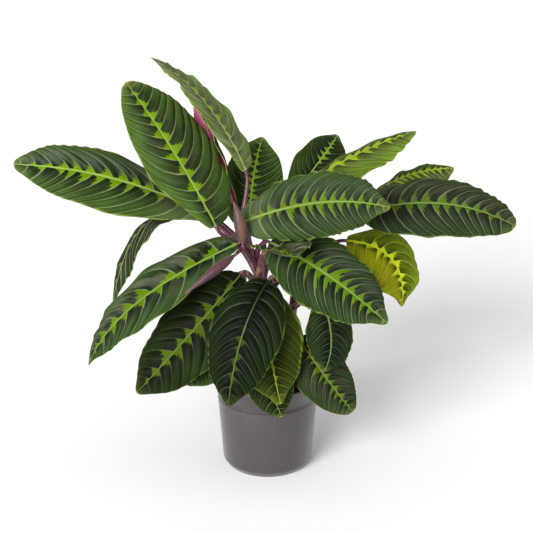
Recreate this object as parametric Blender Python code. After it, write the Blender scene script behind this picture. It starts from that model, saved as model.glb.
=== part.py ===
# A calathea in a round nursery pot, standing on the floor, in metres with +Z up.
# The pot's axis is the Z axis, its foot stands at z = 0, and the front of the plant faces -Y.

import math

import bmesh
import bpy
from mathutils import Vector

MM = 0.001
GAP = 0.3

# The pot, all in millimetres.
POT_HEIGHT = 135.0
RIM_RADIUS = 75.0
RIM_DROP = 23.0
GROOVE_HEIGHT = 7.0
GROOVE_DEPTH = 1.0
WALL_TOP_RADIUS = 73.0
WALL_FOOT_RADIUS = 65.5
CHAMFER_HEIGHT = 9.0
FOOT_RADIUS = 59.5
FOOT_RING = 4.0
CHANNEL_RISE = 4.0
DISC_RADIUS = 25.0
WALL = 1.6
FLOOR_TOP = 6.0
INNER_CHAMFER_RISE = 2.0
RIM_TAPER = 0.6
GROOVE_EDGE = 1.0
RING_EDGE = 1.0
DRAIN_HOLES = 6
DRAIN_RADIUS = 5.0
DRAIN_RING = 41.0
DRAIN_SIDES = 12
POT_SIDES = 40

SOIL_TOP = 120.0
SOIL_DOME = 2.0
SOIL_EDGE = 6.0
SOIL_GAP = 1.0
HOLE_DEPTH = 40.0
HOLE_CLEARANCE = 0.7
HOLE_SIDES = 16
CUTTER_RISE = 20.0

# A blade is a grid of rows along its midrib and columns across it.
BLADE_THICK = 0.8
BLADE_ROWS = 16
BLADE_COLUMNS = 4
BLADE_BASE_WIDTH = 3.0
BLADE_TIP_WIDTH = 1.0
WIDEST = 0.8
BLUNT = 0.45
POINT = 0.2
POINT_FROM = 0.8
TAPER = (0.15, 0.15)
TAPER_TO = 0.45
FOLD = 0.16
ARCH = 0.42
WAVE = 2.2
WAVES = 3.5
LEAF_PHASE = 2.1
SIDE_PHASE = 1.7

STALK_SIDES = 6
STALK_ROWS = 7
STALK_TIP_RADIUS = 1.6
STALK_ROOT_RADIUS = 3.4
STALK_NECK = 3.0
STALK_PULL = 0.4
STALK_ARCH = 0.18
COLUMN_SIDES = 8
COLUMN_ROWS = 7
COLUMN_DIP = 10.0
COLUMN_FREE = 4.0

YOUNG_SIDES = 10
YOUNG_ROWS = 8
YOUNG_TIP_RADIUS = 1.2

# Edges that turn by more than this stay sharp, in degrees.
TURNED_SHARP = 35.0
TUBE_SHARP = 65.0

# Each shoot: the middle of its foot in the soil, its bend, its crown, and its radius at foot and crown.
SHOOTS = {
    "left": dict(foot=(4, -4), bend=(-2, -14, 245), crown=(-30, -14, 340), radius=(9.5, 6.0)),
    "right": dict(foot=(26, 18), bend=(34, 26, 200), crown=(44, 30, 300), radius=(8.5, 5.5)),
    "front": dict(foot=(14, -34), bend=(12, -40, 175), crown=(14, -42, 222), radius=(8.0, 5.5)),
    "back": dict(foot=(-10, 34), bend=(-8, 46, 200), crown=(-6, 56, 270), radius=(8.5, 5.5)),
}

# Each leaf: the start, middle and tip of its midrib, the way its upper side looks at the start and
# at the tip, its width, and the shoot and height its stalk forks from.
LEAVES = {
    "leaf_01_far_left": dict(
        base=(-83, 28, 370), middle=(-212, 6, 429), tip=(-343, -18, 456),
        face=(0.1, -0.3, 0.95), face_tip=(0.1, -0.95, 0.4),
        width=98, point=0.1, taper=(0.35, 0.35), shoot="left", fork=0.75),
    "leaf_02_upper_left": dict(
        base=(-71, -26, 369), middle=(-131, 0, 472), tip=(-196, 45, 556),
        face=(0.35, -0.95, 0.25),
        width=104, point=0.05, lean=0.13, taper=(0.5, 0.05), shoot="left", fork=0.8),
    "leaf_03_top_left": dict(
        base=(-31, 12, 439), middle=(-86, 18, 534), tip=(-158, 30, 593),
        face=(0.4, -0.45, 0.7), face_tip=(0.9, -0.1, 0.45),
        width=68, lean=0.12, taper=(0.5, -0.2), arch=0.2, shoot="left", fork=0.95),
    "leaf_04_behind_left": dict(
        base=(-45, 41, 384), middle=(-74, 50, 470), tip=(-104, 54, 527),
        face=(0.9, 0.4, 0.3),
        width=70, point=0.5, shoot="left", fork=0.8),
    "leaf_05_upright": dict(
        base=(-27, 40, 348), middle=(-21, 72, 411), tip=(-8, 100, 466),
        face=(0.0, -0.85, 0.5),
        width=90, shoot="left", fork=0.7),
    "leaf_06_behind_centre": dict(
        base=(27, 62, 379), middle=(73, 92, 430), tip=(101, 106, 468),
        face=(0.1, -0.7, 0.7),
        width=72, taper=(0.5, 0.15), shoot="right", fork=0.8),
    "leaf_07_top_right": dict(
        base=(34, 22, 406), middle=(126, 24, 461), tip=(204, 20, 493),
        face=(-0.35, -0.3, 0.9),
        width=66, lean=-0.08, arch=0.6, shoot="right", fork=0.95),
    "leaf_08_front_centre": dict(
        base=(-38, -28, 375), middle=(63, -75, 417), tip=(155, -100, 419),
        face=(0.05, -0.8, 0.55), face_tip=(0.05, -0.9, 0.4),
        width=93, shoot="left", fork=0.9),
    "leaf_09_back_right": dict(
        base=(146, 60, 391), middle=(206, 82, 416), tip=(272, 102, 421),
        face=(-0.1, 0.2, 0.95), face_tip=(0.1, -0.65, 0.75),
        width=64, lean=0.4, taper=(0.75, 0.15), shoot="right", fork=0.9),
    "leaf_10_right": dict(
        base=(130, 14, 379), middle=(243, 2, 395), tip=(343, -15, 368),
        face=(0.1, -0.65, 0.75), face_tip=(0.1, -0.8, 0.6),
        width=94, point=0.0, taper=(0.2, 0.0), shoot="right", fork=0.95),
    "leaf_11_lower_right": dict(
        base=(112, 10, 338), middle=(176, 5, 313), tip=(192, -10, 251),
        face=(0.4, -0.7, 0.6),
        width=112, point=0.4, lean=-0.1, taper=(0.6, 0.15), shoot="right", fork=0.8),
    "leaf_12_front_right": dict(
        base=(3, -36, 350), middle=(78, -95, 324), tip=(153, -140, 275),
        face=(0.1, -0.85, 0.5),
        width=102, shoot="left", fork=0.8),
    "leaf_13_toward_front": dict(
        base=(6, -62, 348), middle=(20, -96, 353), tip=(37, -128, 359),
        face=(0.0, 0.1, 1.0),
        width=84, fold=0.42, arch=0.1, taper=(0.1, 0.3), shoot="left", fork=0.7),
    "leaf_14_low_right": dict(
        base=(76, -50, 270), middle=(88, -72, 222), tip=(80, -80, 178),
        face=(0.2, -0.9, 0.4),
        width=68, shoot="front", fork=0.95),
    "leaf_15_low_right_tip": dict(
        base=(43, -50, 214), middle=(79, -72, 167), tip=(118, -85, 118),
        face=(0.2, -0.9, 0.4),
        width=78, point=0.0, shoot="front", fork=0.8),
    "leaf_16_front_dark": dict(
        base=(1, -66, 305), middle=(-34, -115, 244), tip=(-53, -140, 153),
        face=(-0.25, -0.85, 0.5),
        width=104, shoot="left", fork=0.4),
    "leaf_17_front_bright": dict(
        base=(-2, -62, 287), middle=(3, -95, 221), tip=(17, -105, 142),
        face=(0.1, -0.9, 0.4),
        width=98, shoot="front", fork=0.98),
    "leaf_18_low_centre": dict(
        base=(-8, -66, 212), middle=(3, -88, 161), tip=(19, -94, 115),
        face=(0.0, -0.95, 0.3),
        width=68, shoot="front", fork=0.7),
    "leaf_19_low_left": dict(
        base=(-38, -40, 304), middle=(-107, -75, 230), tip=(-181, -90, 149),
        face=(-0.35, -0.85, 0.3),
        width=106, shoot="left", fork=0.45),
    "leaf_20_behind_low_left": dict(
        base=(-50, -35, 265), middle=(-82, -50, 195), tip=(-113, -56, 146),
        face=(-0.2, -0.9, 0.4),
        width=74, shoot="left", fork=0.3),
    "leaf_21_long_left": dict(
        base=(-41, -42, 350), middle=(-178, -78, 277), tip=(-246, -90, 191),
        face=(-0.2, -0.62, 0.68), face_tip=(-0.2, -0.45, 0.8),
        width=84, point=0.3, lean=0.1, taper=(0.6, 0.1), widest=0.6, blunt=0.65,
        shoot="left", fork=0.75),
    "leaf_22_hanging_left": dict(
        base=(-98, 35, 367), middle=(-180, 40, 349), tip=(-227, 38, 234),
        face=(-0.3, 0.3, 0.9), face_tip=(-0.8, -0.5, 0.3),
        width=66, shoot="left", fork=0.7),
    "leaf_23_back_left": dict(
        base=(-6, 84, 335), middle=(-12, 150, 372), tip=(-8, 215, 372),
        face=(0.0, 0.2, 1.0),
        width=76, shoot="back", fork=0.9),
    "leaf_24_back_top": dict(
        base=(30, 84, 330), middle=(80, 150, 372), tip=(130, 220, 372),
        face=(0.1, 0.3, 1.0),
        width=92, shoot="back", fork=0.95),
    "leaf_25_back_right": dict(
        base=(50, 74, 270), middle=(120, 125, 290), tip=(190, 165, 255),
        face=(0.1, 0.3, 1.0),
        width=96, shoot="back", fork=0.8),
    "leaf_26_back_low_right": dict(
        base=(34, 85, 260), middle=(80, 130, 235), tip=(120, 165, 175),
        face=(0.4, 0.8, 0.5),
        width=90, shoot="back", fork=0.6),
    "leaf_27_back_low_left": dict(
        base=(-41, 85, 265), middle=(-96, 130, 221), tip=(-135, 160, 145),
        face=(-0.4, 0.8, 0.5),
        width=90, shoot="back", fork=0.6),
}

# Each rolled young leaf: the points of its axis, its thickest radius, and where its stalk forks.
YOUNG_LEAVES = {
    "young_leaf_up": dict(
        points=((-34, -51, 352), (-38, -52, 382), (-46, -48, 411)),
        radius=9.0, shoot="left", fork=0.8),
    "young_leaf_down": dict(
        points=((-45, -66, 341), (-71, -88, 326), (-111, -104, 299)),
        radius=7.5, shoot="left", fork=0.9),
}

UNDERSIDE_PINK = (0.36, 0.13, 0.16)
LEAF_GREEN = (0.045, 0.11, 0.03)
STEM_PURPLE = (0.13, 0.05, 0.06)
SOIL_BROWN = (0.05, 0.035, 0.025)
POT_GREY = (0.125, 0.115, 0.12)


def clear_scene():
    for thing in list(bpy.data.objects):
        bpy.data.objects.remove(thing, do_unlink=True)


def material(name, colour, roughness):
    made = bpy.data.materials.new(name)
    made.use_nodes = True
    shader = made.node_tree.nodes["Principled BSDF"]
    shader.inputs["Base Color"].default_value = (*colour, 1.0)
    shader.inputs["Roughness"].default_value = roughness
    shader.inputs["Metallic"].default_value = 0.0
    return made


def object_from(name, work, look=None, collection=None):
    mesh = bpy.data.meshes.new(name)
    work.to_mesh(mesh)
    work.free()
    thing = bpy.data.objects.new(name, mesh)
    (collection or bpy.context.scene.collection).objects.link(thing)
    if look:
        mesh.materials.append(look)
    return thing


def smooth(thing, sharp):
    thing.data.shade_smooth()
    thing.data.set_sharp_from_angle(angle=math.radians(sharp))


def turned(profile, sides):
    work = bmesh.new()
    points = [work.verts.new((radius * MM, 0.0, height * MM)) for radius, height in profile]
    edges = [work.edges.new(pair) for pair in zip(points, points[1:])]
    bmesh.ops.spin(
        work, geom=points + edges, cent=(0, 0, 0), axis=(0, 0, 1),
        angle=math.tau, steps=sides, use_merge=True)
    bmesh.ops.remove_doubles(work, verts=work.verts, dist=0.01 * MM)
    bmesh.ops.recalc_face_normals(work, faces=work.faces)
    return work


def cut(thing, cutters):
    for cutter in cutters:
        cutter.hide_render = True
        cutter.display_type = "WIRE"
        step = thing.modifiers.new("cut " + cutter.name, "BOOLEAN")
        step.operation = "DIFFERENCE"
        step.object = cutter


def upright_cylinder(name, x, y, low, high, radius, sides):
    work = bmesh.new()
    bmesh.ops.create_cone(
        work, cap_ends=True, segments=sides, radius1=radius * MM, radius2=radius * MM,
        depth=(high - low) * MM)
    bmesh.ops.translate(work, verts=work.verts, vec=(x * MM, y * MM, (low + high) / 2 * MM))
    return object_from(name, work)


def pot_profile():
    groove_top = POT_HEIGHT - RIM_DROP
    groove_low = groove_top - GROOVE_HEIGHT
    groove_radius = WALL_TOP_RADIUS - GROOVE_DEPTH
    return [
        (0.0, FLOOR_TOP),
        (FOOT_RADIUS - WALL, FLOOR_TOP),
        (WALL_FOOT_RADIUS - WALL, CHAMFER_HEIGHT + INNER_CHAMFER_RISE),
        (WALL_TOP_RADIUS - GROOVE_DEPTH - WALL, groove_low),
        (RIM_RADIUS - WALL, POT_HEIGHT),
        (RIM_RADIUS, POT_HEIGHT),
        (RIM_RADIUS - RIM_TAPER, groove_top),
        (groove_radius, groove_top - GROOVE_EDGE),
        (groove_radius, groove_low + GROOVE_EDGE),
        (WALL_TOP_RADIUS, groove_low),
        (WALL_FOOT_RADIUS, CHAMFER_HEIGHT),
        (FOOT_RADIUS, 0.0),
        (FOOT_RADIUS - FOOT_RING, 0.0),
        (FOOT_RADIUS - FOOT_RING - RING_EDGE, CHANNEL_RISE),
        (DISC_RADIUS + RING_EDGE, CHANNEL_RISE),
        (DISC_RADIUS, 0.0),
        (0.0, 0.0),
    ]


def pot():
    made = object_from("pot", turned(pot_profile(), POT_SIDES), material("pot plastic", POT_GREY, 0.45))
    holes = []
    for number in range(DRAIN_HOLES):
        turn = math.tau * number / DRAIN_HOLES
        holes.append(upright_cylinder(
            f"drain_cutter_{number}", DRAIN_RING * math.cos(turn), DRAIN_RING * math.sin(turn),
            0.0, FLOOR_TOP + INNER_CHAMFER_RISE, DRAIN_RADIUS, DRAIN_SIDES))
    cut(made, holes)
    smooth(made, TURNED_SHARP)
    return made


def soil():
    groove_low = POT_HEIGHT - RIM_DROP - GROOVE_HEIGHT
    inner_top = WALL_TOP_RADIUS - GROOVE_DEPTH - WALL
    profile = [
        (0.0, FLOOR_TOP + GAP),
        (FOOT_RADIUS - WALL - SOIL_GAP, FLOOR_TOP + GAP),
        (WALL_FOOT_RADIUS - WALL - SOIL_GAP, CHAMFER_HEIGHT + INNER_CHAMFER_RISE),
        (inner_top - SOIL_GAP, groove_low),
        (inner_top, SOIL_TOP - SOIL_GAP),
        (inner_top - SOIL_EDGE, SOIL_TOP),
        (0.0, SOIL_TOP + SOIL_DOME),
    ]
    made = object_from("soil", turned(profile, POT_SIDES), material("soil", SOIL_BROWN, 0.95))
    holes = []
    for name, shoot in SHOOTS.items():
        x, y = shoot["foot"]
        holes.append(upright_cylinder(
            f"soil_cutter_{name}", x, y, SOIL_TOP - HOLE_DEPTH, SOIL_TOP + CUTTER_RISE,
            shoot["radius"][0] + HOLE_CLEARANCE, HOLE_SIDES))
    cut(made, holes)
    smooth(made, TURNED_SHARP)
    return made


def shares(steps):
    """Even shares from 0 to 1, both ends included."""
    return [step / steps for step in range(steps + 1)]


def on_curve(start, middle, tip, along):
    """The point and direction a share of the way along the smooth curve through three points."""
    start, middle, tip = Vector(start), Vector(middle), Vector(tip)
    control = 2 * middle - (start + tip) / 2
    point = (1 - along) ** 2 * start + 2 * along * (1 - along) * control + along ** 2 * tip
    heading = (1 - along) * (control - start) + along * (tip - control)
    return point, heading.normalized()


def ease(value, low, high):
    """Runs smoothly from 0 at low to 1 at high."""
    share = min(max((value - low) / (high - low), 0.0), 1.0)
    return share * share * (3.0 - 2.0 * share)


def half_width(leaf, along, across):
    """The blade's width on one side of the midrib: round at the base, pointed at the tip."""
    blunt = leaf.get("blunt", BLUNT) + leaf.get("point", POINT) * ease(along, POINT_FROM, 1.0)
    swell = max(math.sin(math.pi * along ** leaf.get("widest", WIDEST)), 0.0) ** blunt
    taper = leaf.get("taper", TAPER)[1 if across > 0 else 0]
    swell *= 1.0 - taper * (1.0 - ease(along, 0.0, TAPER_TO))
    narrow = BLADE_BASE_WIDTH + (BLADE_TIP_WIDTH - BLADE_BASE_WIDTH) * along
    half = (narrow + (leaf["width"] - narrow) * swell) / 2
    return half * (1.0 + math.copysign(leaf.get("lean", 0.0), across))


def blade_point(leaf, number, along, across):
    """A point of the blade's sheet; across runs from -1 at one margin to 1 at the other."""
    point, heading = on_curve(leaf["base"], leaf["middle"], leaf["tip"], along)
    face = Vector(leaf["face"]).lerp(Vector(leaf.get("face_tip", leaf["face"])), along)
    up = (face - face.dot(heading) * heading).normalized()
    side = heading.cross(up)
    half = half_width(leaf, along, across)
    lift = leaf.get("fold", FOLD) * abs(across) - leaf.get("arch", ARCH) * across ** 2
    phase = number * LEAF_PHASE + (SIDE_PHASE if across > 0 else 0.0)
    ripple = leaf.get("wave", WAVE) * across ** 2 * math.sin(math.pi * along) ** 0.5
    ripple *= math.sin(math.tau * WAVES * along + phase)
    return point + side * (across * half) + up * (lift * half + ripple)


def blade(name, number, leaf, look):
    work = bmesh.new()
    bmesh.ops.create_grid(
        work, x_segments=BLADE_ROWS, y_segments=BLADE_COLUMNS, size=1.0)
    for vert in work.verts:
        along = (vert.co.x + 1.0) / 2
        vert.co = blade_point(leaf, number, along, vert.co.y) * MM
    bmesh.ops.triangulate(work, faces=work.faces)
    bmesh.ops.recalc_face_normals(work, faces=work.faces)
    made = object_from(name, work, look)
    thick = made.modifiers.new("thickness", "SOLIDIFY")
    thick.thickness = BLADE_THICK * MM
    thick.offset = 0.0
    return made


def tube(name, points, radii, sides, collection):
    """A round tube of changing radius along a list of points, closed at both ends."""
    work = bmesh.new()
    points = [Vector(point) for point in points]
    rings = []
    side = Vector((1.0, 0.0, 0.0))
    for number, point in enumerate(points):
        before = points[max(number - 1, 0)]
        after = points[min(number + 1, len(points) - 1)]
        heading = (after - before).normalized()
        side = (side - side.dot(heading) * heading).normalized()
        other = heading.cross(side)
        ring = []
        for step in range(sides):
            turn = math.tau * step / sides
            reach = side * math.cos(turn) + other * math.sin(turn)
            ring.append(work.verts.new((point + reach * radii[number]) * MM))
        rings.append(ring)
    for low, high in zip(rings, rings[1:]):
        for step in range(sides):
            after = (step + 1) % sides
            work.faces.new((low[step], low[after], high[after], high[step]))
    work.faces.new(list(reversed(rings[0])))
    work.faces.new(rings[-1])
    return object_from(name, work, None, collection)


def column_point(shoot, along):
    x, y = shoot["foot"]
    return on_curve((x, y, SOIL_TOP - COLUMN_DIP), shoot["bend"], shoot["crown"], along)


def column(name, shoot, collection):
    x, y = shoot["foot"]
    wide, slim = shoot["radius"]
    climb = shares(COLUMN_ROWS)[1:]
    points = [(x, y, SOIL_TOP - HOLE_DEPTH + SOIL_GAP), (x, y, SOIL_TOP + COLUMN_FREE)]
    points += [column_point(shoot, share)[0] for share in climb]
    radii = [wide, wide] + [wide + (slim - wide) * share for share in climb]
    return tube(f"column_{name}", points, radii, COLUMN_SIDES, collection)


def stalk(name, leaf_points, fork, shoot, collection):
    """A leaf's stalk: it leaves the shoot's column at its fork and ends just short of the leaf."""
    root, climb = column_point(shoot, fork)
    end, heading = on_curve(*leaf_points, 0.0)
    end = end - heading * GAP
    distance = (end - root).length
    neck = end - heading * STALK_NECK
    rise = root + climb * distance * STALK_PULL
    pulls = (root, rise, neck - heading * distance * STALK_ARCH, neck)
    points = []
    radii = []
    for share in shares(STALK_ROWS):
        left = 1.0 - share
        weights = (left ** 3, 3 * left ** 2 * share, 3 * left * share ** 2, share ** 3)
        points.append(sum((pull * weight for pull, weight in zip(pulls, weights)), Vector()))
        radii.append(STALK_ROOT_RADIUS + (STALK_TIP_RADIUS - STALK_ROOT_RADIUS) * share)
    points.append(end)
    radii.append(STALK_TIP_RADIUS)
    return tube(f"stalk_{name}", points, radii, STALK_SIDES, collection)


def shoot(name, look):
    """One shoot: its column and all its stalks, joined into one body."""
    parts = bpy.data.collections.new("shoot parts " + name)
    bpy.context.scene.collection.children.link(parts)
    body = column(name, SHOOTS[name], bpy.context.scene.collection)
    for leaf_name, leaf in LEAVES.items():
        if leaf["shoot"] == name:
            leaf_points = (leaf["base"], leaf["middle"], leaf["tip"])
            stalk(leaf_name, leaf_points, leaf["fork"], SHOOTS[name], parts)
    for leaf_name, leaf in YOUNG_LEAVES.items():
        if leaf["shoot"] == name:
            stalk(leaf_name, leaf["points"], leaf["fork"], SHOOTS[name], parts)
    body.name = f"shoot_{name}"
    body.data.materials.append(look)
    join = body.modifiers.new("join", "BOOLEAN")
    join.operation = "UNION"
    join.operand_type = "COLLECTION"
    join.collection = parts
    join.solver = "MANIFOLD"
    bpy.context.view_layer.update()
    joined = body.evaluated_get(bpy.context.evaluated_depsgraph_get())
    mesh = bpy.data.meshes.new_from_object(joined)
    body.modifiers.clear()
    body.data = mesh
    smooth(body, TUBE_SHARP)
    for part in list(parts.objects):
        bpy.data.objects.remove(part, do_unlink=True)
    bpy.data.collections.remove(parts)
    return body


def young_leaf(name, look):
    """A rolled young leaf: a slim spindle along three points."""
    leaf = YOUNG_LEAVES[name]
    points = []
    radii = []
    for share in shares(YOUNG_ROWS):
        swell = math.sin(math.pi * share ** WIDEST)
        points.append(on_curve(*leaf["points"], share)[0])
        radii.append(YOUNG_TIP_RADIUS + (leaf["radius"] - YOUNG_TIP_RADIUS) * swell)
    made = tube(name, points, radii, YOUNG_SIDES, bpy.context.scene.collection)
    made.data.materials.append(look)
    smooth(made, TUBE_SHARP)
    return made


def build():
    clear_scene()
    pot()
    soil()
    leaf_look = material("leaf", LEAF_GREEN, 0.5)
    stem_look = material("stem", STEM_PURPLE, 0.5)
    pink_look = material("young leaf", UNDERSIDE_PINK, 0.5)
    for name in SHOOTS:
        shoot(name, stem_look)
    for number, (name, leaf) in enumerate(LEAVES.items()):
        blade(name, number, leaf, leaf_look)
    for name in YOUNG_LEAVES:
        young_leaf(name, pink_look)


build()
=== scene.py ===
import math
import random

import bmesh
import bpy
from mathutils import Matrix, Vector, noise


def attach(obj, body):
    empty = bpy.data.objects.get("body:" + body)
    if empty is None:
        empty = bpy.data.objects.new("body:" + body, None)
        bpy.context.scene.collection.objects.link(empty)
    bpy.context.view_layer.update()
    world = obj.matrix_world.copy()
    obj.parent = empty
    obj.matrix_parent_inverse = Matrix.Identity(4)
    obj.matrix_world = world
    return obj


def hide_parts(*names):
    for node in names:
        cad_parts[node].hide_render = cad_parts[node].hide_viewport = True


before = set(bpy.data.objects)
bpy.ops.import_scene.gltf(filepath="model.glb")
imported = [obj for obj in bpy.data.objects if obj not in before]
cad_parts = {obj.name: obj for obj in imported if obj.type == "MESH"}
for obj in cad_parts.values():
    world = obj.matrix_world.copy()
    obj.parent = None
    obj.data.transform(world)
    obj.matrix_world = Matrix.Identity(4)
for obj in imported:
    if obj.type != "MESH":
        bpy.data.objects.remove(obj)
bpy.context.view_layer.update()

print("frame loaded:", len(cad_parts), "solids")

mm = 0.001  # every measure below is in millimetres

# The same points and sizes as the part's source, so that each piece sits on its solid.
soilTop = 120.0
holeDepth = 40.0
stalkGap = 0.3

shoots = {
    "left": dict(foot=(4, -4), bend=(-2, -14, 245), crown=(-30, -14, 340), radius=(9.5, 6.0)),
    "right": dict(foot=(26, 18), bend=(34, 26, 200), crown=(44, 30, 300), radius=(8.5, 5.5)),
    "front": dict(foot=(14, -34), bend=(12, -40, 175), crown=(14, -42, 222), radius=(8.0, 5.5)),
    "back": dict(foot=(-10, 34), bend=(-8, 46, 200), crown=(-6, 56, 270), radius=(8.5, 5.5)),
}

# The blades' shape: what the part's source fixes comes first, then what is finer here.
bladeShape = dict(
    shoot="left",
    fork=0.8,  # how far up the shoot the stalk leaves it
    ends=(3.0, 1.0),  # its width at the base and at the tip
    widest=0.8,  # under 1 it is widest past its middle
    blunt=0.45,
    point=0.2,  # how much sharper the tip is
    pointFrom=0.8,
    lean=0.0,  # how much wider one half is than the other
    taper=(0.15, 0.15),  # how much narrower each half's base is
    taperTo=0.45,
    fold=0.16,  # how far the halves fold up
    arch=0.42,  # how far the margins bend down again
    wave=2.2, waves=3.5,
    wavePhase=(2.1, 1.7),  # from leaf to leaf, and from half to half
    thickness=0.6,
    faceTip=None,  # where the tip faces another way than the base
    veins=13,  # side veins on each half
    rowsPerVein=8, columns=32,
    rowSpread=0.4,  # how much closer the rows lie at the base, where they fan out
    columnSpread=1.15,  # how much closer the columns lie at the midrib
    sweep=0.33,  # how far the side veins run forward to the margin
    sweepBend=2.6, sweepEnds=1.4,
    sideShift=0.37,  # how far the two halves are out of step
    uneven=0.5,  # how unevenly the side veins are spaced
    pleat=0.9,  # how far the blade swells up between its side veins
    pleatFrom=(0.03, 0.4),
    grooveDepth=0.7,  # the groove along the midrib
    grooveWidth=1.6,
    fullFrom=(4.0, 25.0),  # half widths with no relief, and with all of it
    ruffle=0.0,  # how far the margin flutters
    scallop=0.012,  # how far the margin stands out between the side veins
    drip=2.0,  # how far the tip is drawn out
    dripFrom=0.93, ribRadius=1.5, ribTip=0.35,
    ribSpan=(0.001, 0.965),  # where the midrib starts, and how far it runs
    ribSunk=(0.1, 0.75), ribSteps=30, ribSides=8,
)

# How a leaf looks where its own entry below doesn't say otherwise.
leafLook = dict(
    glow=None,  # the feathering's brightness, partly painted light through the leaf; if None, the root of light
    fresh=0.0,  # how yellow
    grey=0.0,  # how much grey veil is laid over: dust, and a painted sheen
    early=0.25,  # how far the feathering reaches at the base
    brightFrom=None,  # where along the leaf the feathering starts
    brightTo=None,  # where it ends
    spiky=0.0,  # how thin its teeth are
    contrast=1.0,  # how clear it is
    plain=None,  # how far from the base the leaf stays pale and plain
    deep=0.75,  # how dark the panels between the side veins are; partly their own colour, partly painted pleat shade
    paintedSheen=(0.0, 0.0),  # the painted grey sheen, a painted reflection, on each half
    warm=0.0,  # how brown that painted sheen is
    veining=0.75,  # how clear the side veins are
    rib=0.9,  # how clear the midrib is
    ribFrom=None,  # where along the leaf it starts to show
    ribWide=1.0,
    rimWide=0.0,  # how much wider the pale margin is
    tipColour=0.2,  # how brown the tip is
    burn=None,  # the half that has turned amber, 1 or -1
    under="purple",  # the colour of the underside
)
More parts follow.
